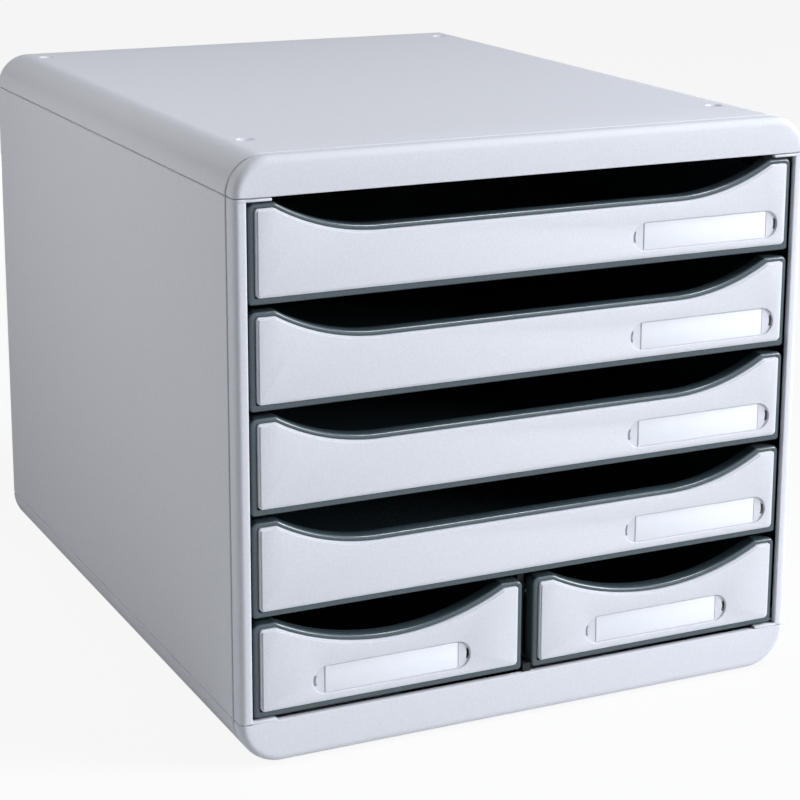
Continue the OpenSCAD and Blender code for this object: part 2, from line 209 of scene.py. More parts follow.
# Label windows, their cards and the nail slots at their ends
LABEL_L = 77.8
LABEL_H = 13.4
LABEL_Z = 13.3
LABEL_D = 1.0
LABEL_EDGE = 4.5
LABEL_R = 0.25
WINDOW_INSET = 0.2
WINDOW_GAP = 0.1
WINDOW_R = 0.2
CARD_T = 0.25
CARD_END = 6.2
CARD_EDGE = 0.6
CARD_AIR = 0.1
CARD_R = 0.05
SLOT_W = 1.3
SLOT_EDGE = 0.35
SLOT_FLARE = 1.4
SLOT_REACH = 2.5
STOP_W = 0.6
STOP_DEPTH = 0.4

# How finely arcs are divided, how blocks are rounded, and how near points become one
CORNER_STEPS = 8
CASE_STEPS = 20
SCOOP_STEPS = 28
EDGE_STEPS = 4
BLOCK_R = 0.2
BLOCK_STEPS = 3
MERGE = 1e-4
SHARP_ANGLE = math.radians(32)


# ---------- Outlines ----------

def arc(cx, cy, r, start, end, steps):
    """Points along an arc from one polar angle to another, in degrees."""
    angles = [math.radians(start + (end - start) * i / steps) for i in range(steps + 1)]
    return [(cx + r * math.cos(a), cy + r * math.sin(a)) for a in angles]


def rounded(corners, steps=EDGE_STEPS):
    """A closed outline from (x, y, radius) corners, each rounded by an arc."""
    points = []
    for i, (x, y, r) in enumerate(corners):
        if r == 0:
            points.append((x, y))
            continue
        here = Vector((x, y))
        before = (Vector(corners[i - 1][:2]) - here).normalized()
        after = (Vector(corners[(i + 1) % len(corners)][:2]) - here).normalized()
        half = before.angle(after) / 2
        centre = here + (before + after).normalized() * (r / math.sin(half))
        a = here + before * (r / math.tan(half)) - centre
        b = here + after * (r / math.tan(half)) - centre
        turn = a.angle_signed(b)
        for k in range(steps + 1):
            p = centre + Matrix.Rotation(-turn * k / steps, 2) @ a
            points.append((p.x, p.y))
    return points


class Front:
    """The outline that a drawer's front, its border and its facing share."""

    def __init__(self, name):
        low, high = node_box("facing_" + name)
        side, bottom, top = FACING_INSET
        self.name = name
        self.half = name in ("left", "right")
        self.x = (low.x + high.x) / 2
        self.z = low.z - bottom
        self.w = high.x - low.x + 2 * side
        self.h = high.z - low.z + bottom + top
        if self.half:
            reach = self.w / 2 - ARC_LAND_W
            self.depth = ARC_D
            self.r = (reach ** 2 + ARC_D ** 2) / (2 * ARC_D)
            self.x_low = 0.0
        else:
            scoop = math.sqrt(SCOOP_R ** 2 - (SCOOP_R - SCOOP_D) ** 2)
            self.depth = SCOOP_D
            self.r = SCOOP_R
            self.x_low = self.w / 2 - LAND_W - scoop

    def outline(self, insets, radii):
        """Points of the outline drawn inset, from the lower right corner round."""
        top_r, low_r, end_r = radii
        w = self.w / 2 - insets[0]
        bottom = insets[1]
        top = self.h - insets[2]
        low = top - self.depth
        r = self.r + insets[2]
        reach = r + end_r
        rise = reach - self.depth
        x_end = self.x_low + math.sqrt(reach ** 2 - rise ** 2)
        turn = math.degrees(math.acos(rise / reach))
        right = arc(w - low_r, bottom + low_r, low_r, -90, 0, CORNER_STEPS)
        right += arc(w - top_r, top - top_r, top_r, 0, 90, CORNER_STEPS)
        right += arc(x_end, top - end_r, end_r, 90, 90 + turn, CORNER_STEPS)
        right += arc(self.x_low, low + r, r, turn - 90, -90, SCOOP_STEPS)[1:]
        left = [(-x, z) for x, z in reversed(right)]
        if self.x_low == 0:
            left = left[1:]
        return [(self.x + x, self.z + z) for x, z in right + left]


def shrunk(radii, amount):
    """Corner radii of an outline drawn further in."""
    return [max(r - amount, LEAST_R) for r in radii]


def pill(x, z, inset):
    """Outline of a bar with round ends."""
    r = LABEL_H / 2 - inset
    reach = (LABEL_L - LABEL_H) / 2
    steps = 2 * CORNER_STEPS
    return arc(x + reach, z, r, -90, 90, steps) + arc(x - reach, z, r, 90, 270, steps)


def crescent(x, z, side, flare=0.0):
    """Outline of the curved nail slot at one end of a label window, moved out by a flare."""
    r = LABEL_H / 2 - SLOT_EDGE + flare
    tip = math.degrees(math.asin(SLOT_REACH / r))
    outer = arc(0, 0, r, -tip, tip, CORNER_STEPS)
    inner = arc(-SLOT_W, 0, r, tip, -tip, CORNER_STEPS)
    centre = x + side * (LABEL_L - LABEL_H) / 2
    return [(centre + side * px, z + pz) for px, pz in outer + inner]


def card_stop(x, z, side):
    """Outline of the narrow groove that the end of a label card stops against."""
    near = x + side * (LABEL_L / 2 - CARD_END)
    far = near + side * STOP_W
    half = LABEL_H / 2 - CARD_EDGE
    return [(near, z - half), (far, z - half), (far, z + half), (near, z + half)]


# ---------- Mesh building ----------

def loop_at(bm, points, y):
    """Vertices of an outline drawn in X and Z, at one depth."""
    return [bm.verts.new((x, y, z)) for x, z in points]


def bridge(bm, a, b, closed=True):
    """Faces between two rows of as many vertices."""
    count = len(a)
    for i in range(count if closed else count - 1):
        j = (i + 1) % count
        bm.faces.new((a[i], a[j], b[j], b[i]))


def bridge_all(bm, rows, closed=True):
    """Faces between each row of vertices and the next."""
    for a, b in zip(rows, rows[1:]):
        bridge(bm, a, b, closed)


def fill(bm, *loops):
    """A flat face inside the first loop and outside the others."""
    edges = []
    for loop in loops:
        for i, v in enumerate(loop):
            w = loop[(i + 1) % len(loop)]
            edges.append(bm.edges.get((v, w)) or bm.edges.new((v, w)))
    bmesh.ops.triangle_fill(bm, use_beauty=True, edges=edges)


def cap(bm, *loops):
    """One face over each loop."""
    for loop in loops:
        bm.faces.new(loop)


def add_block(bm, low, high, r=BLOCK_R):
    """A box with rounded edges."""
    verts = [
        bm.verts.new((x, y, z))
        for x in (low[0], high[0]) for y in (low[1], high[1]) for z in (low[2], high[2])
    ]
    quads = [(0, 1, 3, 2), (4, 6, 7, 5), (0, 4, 5, 1), (2, 3, 7, 6), (0, 2, 6, 4), (1, 5, 7, 3)]
    faces = [bm.faces.new([verts[i] for i in q]) for q in quads]
    edges = {e for f in faces for e in f.edges}
    bmesh.ops.bevel(
        bm, geom=list(edges), offset=r, segments=BLOCK_STEPS, profile=0.5, affect="EDGES"
    )


def finish_piece(name, bm, node, material, merge=MERGE):
    """Turns a mesh in millimetres into a piece that stands for a CAD node. Points nearer than the
    merge distance become one."""
    if merge:
        bmesh.ops.remove_doubles(bm, verts=bm.verts, dist=merge)
    bmesh.ops.recalc_face_normals(bm, faces=bm.faces)
    bmesh.ops.scale(bm, vec=(MM, MM, MM), verts=bm.verts)
    mesh = bpy.data.meshes.new(name)
    bm.to_mesh(mesh)
    bm.free()
    for polygon in mesh.polygons:
        polygon.use_smooth = True
    mesh.set_sharp_from_angle(angle=SHARP_ANGLE)
    piece = bpy.data.objects.new(name, mesh)
    bpy.context.scene.collection.objects.link(piece)
    mesh.materials.append(material)
    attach(piece, frame["nodes"][node]["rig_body"])
    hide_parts(node)
    return piece


# ---------- Casing ----------

def case_skin():
    """The case's section from its front face round the outside to the inside of the wall, as
    (depth under the surface, distance behind the front)."""
    depth = Y_BACK - Y_FRONT
    y_rib = Y_PANEL - Y_FRONT - RIB_T
    corners = [
        (FRONT_R + SECTION_REACH, 0, 0),
        (0, 0, FRONT_R),
        (0, COLLAR_W, GROOVE_R),
        (GROOVE_D, COLLAR_W, GROOVE_R),
        (GROOVE_D, COLLAR_W + GROOVE_W + UNDERCUT, GROOVE_R),
        (0, COLLAR_W + GROOVE_W, GROOVE_LIP_R),
        (0, depth, REAR_R),
        (WALL, depth, REAR_R / 2),
        (WALL, y_rib + RIB_T, 0),
        (WALL + RIB_H, y_rib + RIB_T, GROOVE_R),
        (WALL + RIB_H, y_rib, GROOVE_R),
        (WALL, y_rib, 0),
        (WALL, FACE_T, 0),
    ]
    return rounded(corners, 2 * EDGE_STEPS)


def near_seam(d, y, at):
    """Moves a point of the section for a ring of vertices near a seam, and tells how far the ring
    draws back from the seam there. The "chamfer" ring is where the seam's bevel starts, the "end"
    ring is where it ends, and a "body" ring is away from the seam."""
    if at == "chamfer":
        return d, y, SEAM_GAP / 2 + max(0.0, SEAM_C - d, SEAM_FRONT - y)
    if at == "end":
        return max(d, SEAM_C), max(y, SEAM_FRONT), SEAM_GAP / 2
    return d, y, 0.0


def make_cover(name, sign, radius, z_seam, dimples):
    """Top cover with sign 1 or bottom cover with sign -1: the section swept round the outline,
    with a lip along the edge of the front band that faces the drawers."""
    skin = case_skin()
    lip = [(0, FACE_T)] + arc(LIP_R, LIP_R, LIP_R, 180, 270, EDGE_STEPS)
    x_flat = X_OUT - radius
    lip_share = 1 - (FRONT_R + LIP_REACH) / X_OUT

    def ring(bm, x_centre, degrees, at="body"):
        nx = math.cos(math.radians(degrees))
        nz = sign * math.sin(math.radians(degrees))
        verts = []
        for d, y in skin:
            dd, yy, back = near_seam(d, y, at)
            x = x_centre + (radius - dd) * nx
            z = z_seam + (radius - dd) * nz + sign * back
            verts.append(bm.verts.new((x, Y_FRONT + yy, z)))
        x_lip = (x_centre + radius * nx) * lip_share
        for z, y in lip:
            _, yy, back = near_seam(SEAM_C, y, at)
            lift = z if at == "body" else back - SEAM_GAP / 2
            verts.append(bm.verts.new((x_lip, Y_FRONT + yy, z_seam + sign * lift)))
        return verts

    quarter = [90 * i / CASE_STEPS for i in range(CASE_STEPS + 1)]
    path = [(-x_flat, 180 - a) for a in quarter] + [(x_flat, 90 - a) for a in quarter]
    bm = bmesh.new()
    rings = [ring(bm, *path[0], at="end"), ring(bm, *path[0], at="chamfer")]
    rings += [ring(bm, *station) for station in path[1:-1]]
    rings += [ring(bm, *path[-1], at="chamfer"), ring(bm, *path[-1], at="end")]
    bridge_all(bm, rings)
    cap(bm, rings[0], rings[-1])
    piece = finish_piece(name + "_shell", bm, name, MATERIALS["case"])
    if dimples:
        cut_dimples(piece)
    return piece


def cut_dimples(piece):
    """Shallow cones in the top, where the feet of another case stand."""
    widening = (DIMPLE_R - DIMPLE_TIP_R) / DIMPLE_D
    bm = bmesh.new()
    for x in (-X_OUT + FOOT_X, X_OUT - FOOT_X):
        for y in (Y_FRONT + FOOT_Y_FRONT, Y_BACK - FOOT_Y_REAR):
            bmesh.ops.create_cone(
                bm,
                cap_ends=True,
                segments=DIMPLE_SIDES,
                radius1=DIMPLE_TIP_R,
                radius2=DIMPLE_R + widening * CUTTER_RISE,
                depth=DIMPLE_D + CUTTER_RISE,
                matrix=Matrix.Translation((x, y, Z_TOP + (CUTTER_RISE - DIMPLE_D) / 2)),
            )
    bmesh.ops.scale(bm, vec=(MM, MM, MM), verts=bm.verts)
    mesh = bpy.data.meshes.new("dimple_cutter")
    bm.to_mesh(mesh)
    bm.free()
    cutter = bpy.data.objects.new("dimple_cutter", mesh)
    bpy.context.scene.collection.objects.link(cutter)
    cut = piece.modifiers.new("dimples", "BOOLEAN")
    cut.object = cutter
    cut.solver = "EXACT"
    bpy.context.view_layer.update()
    evaluated = piece.evaluated_get(bpy.context.evaluated_depsgraph_get())
    cut_mesh = bpy.data.meshes.new_from_object(evaluated)
    piece.modifiers.clear()
    piece.data = cut_mesh
    bpy.data.objects.remove(cutter)


def make_side(name, side):
    """Side panel with the front jamb; side is -1 for the left and 1 for the right."""
    jamb = rounded([(JAMB_W, FACE_T, JAMB_R / 2), (JAMB_W, 0, JAMB_R), (0, 0, 0)])[:-1]
    section = case_skin() + jamb

    def ring(bm, z, inward=0, at="body", notch=0.0):
        verts = []
        for d, y in section:
            dd, yy, back = near_seam(d, max(y, notch), at)
            verts.append(bm.verts.new((side * (X_OUT - dd), Y_FRONT + yy, z + inward * back)))
        return verts

    bm = bmesh.new()
    z_notch = Z_HI - TAB_T - TAB_GAP
    rings = [
        ring(bm, Z_LO, 1, at="end"),
        ring(bm, Z_LO, 1, at="chamfer"),
        ring(bm, z_notch - NOTCH_H),
        ring(bm, z_notch, notch=NOTCH_D),
        ring(bm, z_notch),
        ring(bm, Z_HI, -1, at="chamfer"),
        ring(bm, Z_HI, -1, at="end"),
    ]
    bridge_all(bm, rings)
    cap(bm, rings[0], rings[-1])
    bmesh.ops.remove_doubles(bm, verts=bm.verts, dist=MERGE)
    add_tabs(bm, side)
    add_tongues(bm, side)
    return finish_piece(name + "_panel", bm, name, MATERIALS["case"], merge=0)


def add_tabs(bm, side):
    """Thin tabs at the ends of a jamb, along the edges of the front bands."""
    x_jamb = side * (X_OUT - JAMB_W)
    xs = sorted((x_jamb + side * TAB_SINK, x_jamb - side * TAB_L))
    for z in (Z_LO, Z_HI - TAB_T - TAB_GAP):
        add_block(bm, (xs[0], Y_FRONT, z), (xs[1], Y_FRONT + FACE_T, z + TAB_T), TAB_R)


def add_tongues(bm, side):
    """Tongues that reach behind the covers, each with its root on the panel's inside."""
    x_in = side * (X_OUT - WALL)
    x_near = x_in - side * TONGUE_GAP
    x_far = x_near - side * TONGUE_T
    for y in (Y_FRONT + TONGUE_END, 0, Y_BACK - TONGUE_END):
        for z_seam, up in ((Z_LO, 1), (Z_HI, -1)):
            root = (x_in + side * ROOT_SINK, x_far, z_seam, z_seam + up * ROOT_H)
            tongue = (x_near, x_far, z_seam - up * TONGUE_H, z_seam + up * ROOT_H)
            for xa, xb, za, zb in (root, tongue):
                low = (min(xa, xb), y - TONGUE_L / 2, min(za, zb))
                high = (max(xa, xb), y + TONGUE_L / 2, max(za, zb))
                add_block(bm, low, high)


# ---------- Drawers ----------

def make_tray(front):
    """Charcoal tray: its scooped front with the border, the shell behind it and the rails."""
    bm = bmesh.new()
    add_rim(bm, front)
    bmesh.ops.remove_doubles(bm, verts=bm.verts, dist=MERGE)
    x_side = X_OUT - JAMB_W - RAIL_GAP
    x_wall = FULL_W / 2 - TRAY_STEP
    if front.name == "left":
        walls, rails = (-x_wall, -PART_WALL), (-x_side, -PART_RAIL)
    elif front.name == "right":
        walls, rails = (PART_WALL, x_wall), (PART_RAIL, x_side)
    else:
        walls, rails = (-x_wall, x_wall), (-x_side, x_side)
    tray_top = front.h - WALL_DROP
    add_shell(bm, front, walls, tray_top)
    y_start = Y_RIM_BACK - RAIL_SINK
    y_end = Y_PANEL - TRAY_BACK - TRAY_R
    z = front.z + tray_top - RAIL_T
    for wall, rail in zip(walls, rails):
        inner = wall + math.copysign(TRAY_T / 2, wall - rail)
        xs = sorted((rail, inner))
        add_block(bm, (xs[0], y_start, z), (xs[1], y_end, z + RAIL_T), RAIL_R)
        add_block(bm, (xs[0], y_end - LUG_L, z), (xs[1], y_end, z + RAIL_T + LUG_H), RAIL_R)
    return finish_piece(
        f"tray_{front.name}_body", bm, f"tray_{front.name}", MATERIALS["tray"], merge=0
    )


def add_rim(bm, front):
    """Rim and border round the facing's recess, closed at the back."""
    recess_radii = shrunk(RIM_RADII, BORDER[2])
    loops = [loop_at(bm, front.outline(BORDER, recess_radii), Y_SKIRT)]
    for d, y in arc(-RIM_INNER_R, RIM_INNER_R, RIM_INNER_R, 0, -90, EDGE_STEPS):
        outline = front.outline(BORDER + EVEN * d, shrunk(RIM_RADII, BORDER[2] + d))
        loops.append(loop_at(bm, outline, Y_RIM + y))
    edge = [(d, Y_RIM + y) for d, y in arc(RIM_R, RIM_R, RIM_R, 270, 180, 2 * EDGE_STEPS)]
    edge += [
        (d, Y_RIM_BACK + y)
        for d, y in arc(RIM_BACK_R, -RIM_BACK_R, RIM_BACK_R, 180, 90, EDGE_STEPS)
    ]
    for d, y in edge:
        loops.append(loop_at(bm, front.outline(EVEN * d, shrunk(RIM_RADII, d)), y))
    bridge_all(bm, loops)
    cap(bm, loops[0], loops[-1])


def add_shell(bm, front, walls, tray_top):
    """Floor and walls of a tray, open at the front where the rim's backing closes them."""
    y_front = Y_RIM_BACK - BACK_T / 2
    y_back = Y_PANEL - TRAY_BACK
    edge_z = tray_top - FLOOR_LIFT - TRAY_EDGE_R
    fillet = TRAY_T + FLOOR_FILLET
    section = [(TRAY_LOW_R + UNDER_REACH, 0)]
    section += arc(TRAY_LOW_R, TRAY_LOW_R, TRAY_LOW_R, 270, 180, EDGE_STEPS)
    section += arc(TRAY_EDGE_R, edge_z, TRAY_EDGE_R, 180, 90, EDGE_STEPS)
    section += arc(TRAY_T - TRAY_EDGE_R, edge_z, TRAY_EDGE_R, 90, 0, EDGE_STEPS)
    section += arc(fillet, fillet, FLOOR_FILLET, 180, 270, EDGE_STEPS)
    section += [(fillet + FLOOR_REACH, TRAY_T)]
    rows = []
    for d, z in section:
        r = max(TRAY_R - d, TRAY_LEAST_R)
        x0, x1 = walls[0] + d, walls[1] - d
        back = y_back - d
        plan = [(x0, y_front)] + arc(x0 + r, back - r, r, 180, 90, CORNER_STEPS)
        plan += arc(x1 - r, back - r, r, 90, 0, CORNER_STEPS) + [(x1, y_front)]
        rows.append([bm.verts.new((x, y, front.z + FLOOR_LIFT + z)) for x, y in plan])
    bridge_all(bm, rows, closed=False)
    cap(bm, rows[0], rows[-1], [row[0] for row in rows] + [row[-1] for row in reversed(rows)])


def label_x(front):
    """Middle of a front's label: centred on a half-width front, else near its right end."""
    if front.half:
        return front.x
    return front.x + front.w / 2 - FACING_INSET[0] - LABEL_EDGE - LABEL_L / 2


def make_facing(front):
    """Light facing: a stepped edge round the face, a skirt behind it and the label recess."""
    lx, lz = label_x(front), front.z + LABEL_Z
    flange = arc(FLANGE_R, FLANGE_R, FLANGE_R, 180, 270, EDGE_STEPS)
    face = arc(FACE_R, FACE_R, FACE_R, 180, 270, EDGE_STEPS)
    stations = [(SKIRT_T, Y_FRONT + FACING_T), (SKIRT_T, Y_SKIRT), (0, Y_SKIRT)]
    stations += [(d, Y_FRONT + FLANGE_D + y) for d, y in flange]
    stations += [(FLANGE_W, Y_FRONT + FLANGE_D)]
    stations += [(FLANGE_W + d, Y_FRONT + y) for d, y in face]
    bm = bmesh.new()
    loops = []
    for d, y in stations:
        outline = front.outline(FACING_INSET + EVEN * d, shrunk(FACING_RADII, d))
        loops.append(loop_at(bm, outline, y))
    bridge_all(bm, loops)
    edge = arc(-LABEL_R, LABEL_R, LABEL_R, -90, 0, EDGE_STEPS)
    pocket = [loop_at(bm, pill(lx, lz, d), Y_FRONT + y) for d, y in edge]
    pocket.append(loop_at(bm, pill(lx, lz, 0), Y_FRONT + LABEL_D))
    bridge_all(bm, pocket)
    near_slots, far_slots, stops = [], [], []
    for side in (-1, 1):
        near_slots.append(loop_at(bm, crescent(lx, lz, side), Y_FRONT + LABEL_D))
        far = crescent(lx, lz, side, SLOT_FLARE)
        far_slots.append(loop_at(bm, far, Y_FRONT + FACING_T))
        bridge(bm, near_slots[-1], far_slots[-1])
        stops.append(loop_at(bm, card_stop(lx, lz, side), Y_FRONT + LABEL_D))
        bottom = loop_at(bm, card_stop(lx, lz, side), Y_FRONT + LABEL_D + STOP_DEPTH)
        bridge(bm, stops[-1], bottom)
        cap(bm, bottom)
    fill(bm, loops[-1], pocket[0])
    fill(bm, pocket[-1], *near_slots, *stops)
    fill(bm, loops[0], *far_slots)
    return finish_piece(
        f"facing_{front.name}_plate", bm, f"facing_{front.name}", MATERIALS["facing"]
    )


def make_window(front):
    """Clear bar over the label card, with a nail slot at each end."""
    lx, lz = label_x(front), front.z + LABEL_Z
    y0 = Y_FRONT + WINDOW_INSET
    y1 = Y_FRONT + LABEL_D - CARD_T - CARD_AIR
    edge = arc(WINDOW_R, WINDOW_R, WINDOW_R, 270, 180, EDGE_STEPS)
    stations = [(WINDOW_GAP + d, y0 + y) for d, y in edge] + [(WINDOW_GAP, y1)]
    bm = bmesh.new()
    loops = [loop_at(bm, pill(lx, lz, d), y) for d, y in stations]
    bridge_all(bm, loops)
    near_slots, far_slots = [], []
    for side in (-1, 1):
        near_slots.append(loop_at(bm, crescent(lx, lz, side), y0))
        far_slots.append(loop_at(bm, crescent(lx, lz, side), y1))
        bridge(bm, near_slots[-1], far_slots[-1])
    fill(bm, loops[0], *near_slots)
    fill(bm, loops[-1], *far_slots)
    node = f"label_window_{front.name}"
    return finish_piece(node + "_bar", bm, node, MATERIALS["window"])


def make_card(front):
    """Paper card behind the window."""
    lx, lz = label_x(front), front.z + LABEL_Z
    half_l = LABEL_L / 2 - CARD_END
    half_h = LABEL_H / 2 - CARD_EDGE
    y_back = Y_FRONT + LABEL_D
    bm = bmesh.new()
    low = (lx - half_l, y_back - CARD_T, lz - half_h)
    high = (lx + half_l, y_back, lz + half_h)
    add_block(bm, low, high, CARD_R)
    node = f"label_card_{front.name}"
    return finish_piece(node + "_slip", bm, node, MATERIALS["card"], merge=0)


# ---------- Materials ----------

# Where noise mostly lies between 0 and 1
NOISE_LOW = 0.3
NOISE_HIGH = 0.7

# Cells and mottling of a plastic's grain, as shares of the grain's size, and how much the cells add
# to its relief
CELL_SIZE = 1.6
MOTTLE_SIZE = 1.5
CELL_SHARE = 0.6


class Nodes:
    """Short calls for building a material's node tree."""

    def __init__(self, name):
        self.material = bpy.data.materials.new(name)
        self.material.use_nodes = True
        self.tree = self.material.node_tree
        self.shader = self.tree.nodes["Principled BSDF"]
        self.place = self.add("ShaderNodeTexCoord").outputs["Object"]

    def add(self, kind, **settings):
        """A new node with its settings."""
        node = self.tree.nodes.new(kind)
        for key, value in settings.items():
            setattr(node, key, value)
        return node

    def link(self, a, b):
        """A link between two sockets."""
        self.tree.links.new(a, b)

    def noise(self, size_mm, detail=2.0, roughness=0.5):
        """Noise with features of about one size, from 0 to 1."""
        node = self.add("ShaderNodeTexNoise")
        node.inputs["Scale"].default_value = 1 / (size_mm * MM)
        node.inputs["Detail"].default_value = detail
        node.inputs["Roughness"].default_value = roughness
        self.link(self.place, node.inputs["Vector"])
        return node.outputs["Fac"]

    def cells(self, size_mm):
        """Rounded cells of about one size."""
        node = self.add("ShaderNodeTexVoronoi", feature="SMOOTH_F1")
        node.inputs["Scale"].default_value = 1 / (size_mm * MM)
        self.link(self.place, node.inputs["Vector"])
        return node.outputs["Distance"]

    def spread(self, value, low, high):
        """Maps the values where noise mostly lies onto a range."""
        node = self.add("ShaderNodeMapRange")
        node.inputs["From Min"].default_value = NOISE_LOW
        node.inputs["From Max"].default_value = NOISE_HIGH
        node.inputs["To Min"].default_value = low
        node.inputs["To Max"].default_value = high
        self.link(value, node.inputs["Value"])
        return node.outputs["Result"]

    def tint(self, value, dark, light):
        """A colour between two, by a value."""
        node = self.add("ShaderNodeMix", data_type="RGBA")
        node.inputs["A"].default_value = (*dark, 1)
        node.inputs["B"].default_value = (*light, 1)
        self.link(value, node.inputs["Factor"])
        return node.outputs["Result"]

    def blend(self, a, b, share):
        """Two values added, the second by a share."""
        node = self.add("ShaderNodeMath", operation="MULTIPLY_ADD")
        node.inputs[1].default_value = share
        self.link(b, node.inputs[0])
        self.link(a, node.inputs[2])
        return node.outputs[0]

    def colour(self, noise, dark, light):
        """Base colour between two, by a noise."""
        tinted = self.tint(self.spread(noise, 0, 1), dark, light)
        self.link(tinted, self.shader.inputs["Base Color"])

    def roughness(self, noise, low, high):
        """Roughness between two values, by a noise."""
        self.link(self.spread(noise, low, high), self.shader.inputs["Roughness"])

    def bump(self, height, depth_mm, strength=1.0):
        """Fine relief by a height from 0 to 1."""
        node = self.add("ShaderNodeBump")
        node.inputs["Strength"].default_value = strength
        node.inputs["Distance"].default_value = depth_mm * MM
        self.link(height, node.inputs["Height"])
        self.link(node.outputs["Normal"], self.shader.inputs["Normal"])


def linear(r, g, b):
    """Linear colour of an 8-bit sRGB one."""
    return tuple(
        c / 12.92 if c <= 0.04045 else ((c + 0.055) / 1.055) ** 2.4
        for c in (r / 255, g / 255, b / 255)
    )


def grained_plastic(name, dark, light, rough, grain_mm, grain_depth, gloss):
    """Moulded plastic with a fine leather-like grain and slight mottling; the grain's size and
    depth are millimetres."""
    n = Nodes(name)
    fine = n.noise(grain_mm, detail=3.0, roughness=0.6)
    cells = n.cells(grain_mm * CELL_SIZE)
    n.colour(n.noise(grain_mm * MOTTLE_SIZE), dark, light)
    n.roughness(fine, *rough)
    n.bump(n.blend(fine, cells, CELL_SHARE), grain_depth)
    n.shader.inputs["Specular IOR Level"].default_value = gloss
    return n.material


def case_plastic():
    """Light grey plastic of the casing."""
    return grained_plastic(
        "case_plastic", *LIGHT_GREY, rough=(0.84, 0.92), grain_mm=0.4, grain_depth=0.025, gloss=0.15
    )


def facing_plastic():
    """Light grey plastic of the facings, a little smoother than the casing's."""
    return grained_plastic(
        "facing_plastic", *LIGHT_GREY, rough=(0.78, 0.86), grain_mm=0.4, grain_depth=0.025, gloss=0.15
    )


def tray_plastic():
    """Charcoal plastic of the trays, with a satin shine."""
    return grained_plastic(
        "tray_plastic", *CHARCOAL, rough=(0.2, 0.26), grain_mm=0.5, grain_depth=0.006, gloss=0.6
    )


def runner_plastic():
    """Black plastic of the runners, the partition and the feet."""
    return grained_plastic(
        "runner_plastic", *BLACK, rough=(0.4, 0.5), grain_mm=0.6, grain_depth=0.01, gloss=0.3
    )


def clear_plastic():
    """Thin clear plastic, slightly clouded."""
    n = Nodes("clear_plastic")
    n.colour(n.noise(6), linear(238, 240, 244), linear(246, 248, 252))
    n.roughness(n.noise(3), 0.08, 0.16)
    n.bump(n.noise(14), 0.01, strength=0.3)
    n.shader.inputs["Alpha"].default_value = 0.07
    return n.material


def paper():
    """Smooth white card with faint fibres."""
    n = Nodes("label_paper")
    n.colour(n.noise(0.5, detail=4.0), linear(229, 232, 240), linear(236, 239, 246))
    n.roughness(n.noise(1.5), 0.75, 0.85)
    n.bump(n.noise(0.3, detail=4.0), 0.01, strength=0.5)
    return n.material


LIGHT_GREY = linear(206, 208, 216), linear(215, 217, 225)
CHARCOAL = linear(64, 78, 85), linear(72, 86, 93)
BLACK = linear(24, 25, 28), linear(32, 33, 36)
MATERIALS = {
    "case": case_plastic(),
    "facing": facing_plastic(),
    "tray": tray_plastic(),
    "runner": runner_plastic(),
    "window": clear_plastic(),
    "card": paper(),
}


def dress_node(name, material, bevel):
    """A CAD node that stays gets its finish and slightly rounded edges."""
    node = frame["nodes"][name]
    node.data.materials.clear()
    node.data.materials.append(MATERIALS[material])
    rounding = node.modifiers.new("edges", "BEVEL")
    rounding.width = bevel * MM
    rounding.segments = 2
    rounding.limit_method = "ANGLE"
    rounding.angle_limit = math.radians(40)


# ---------- The object ----------

FRONTS = [Front(name) for name in SETS]
FULL_W = FRONTS[0].w

make_cover("top_cover", 1, TOP_R, Z_HI, dimples=True)
make_cover("bottom_cover", -1, BASE_R, Z_LO, dimples=False)
make_side("left_side", -1)
make_side("right_side", 1)
dress_node("rear_panel", "case", bevel=0.2)
dress_node("left_runners", "runner", bevel=0.2)
dress_node("right_runners", "runner", bevel=0.2)
dress_node("centre_partition", "runner", bevel=0.3)
dress_node("feet", "runner", bevel=0.1)
for front in FRONTS:
    make_tray(front)
    make_facing(front)
    make_window(front)
    make_card(front)


# ---------- Floor and light, in metres ----------

FLOOR_SIZE = 12.0
FLOOR_WHITE = 0.9
FLOOR_COLOUR = (0.66, 0.67, 0.68, 1)
FLOOR_ROUGH = 0.9
AMBIENT = (0.93, 0.95, 1.0, 1)
AMBIENT_STRENGTH = 0.09
LIGHT_AIM = Vector((0, 0, 0.12))
COOL = (0.965, 0.985, 1.0)
WARM = (1.0, 0.99, 0.965)
WHITE = (1.0, 1.0, 1.0)


def seen_directly(tree):
    """1 for rays from the camera, a mirror or glass."""
    path = tree.nodes.new("ShaderNodeLightPath")
    first = tree.nodes.new("ShaderNodeMath")
    first.operation = "ADD"
    tree.links.new(path.outputs["Is Camera Ray"], first.inputs[0])
    tree.links.new(path.outputs["Is Glossy Ray"], first.inputs[1])
    second = tree.nodes.new("ShaderNodeMath")
    second.operation = "ADD"
    second.use_clamp = True
    tree.links.new(first.outputs[0], second.inputs[0])
    tree.links.new(path.outputs["Is Transmission Ray"], second.inputs[1])
    return second.outputs[0]


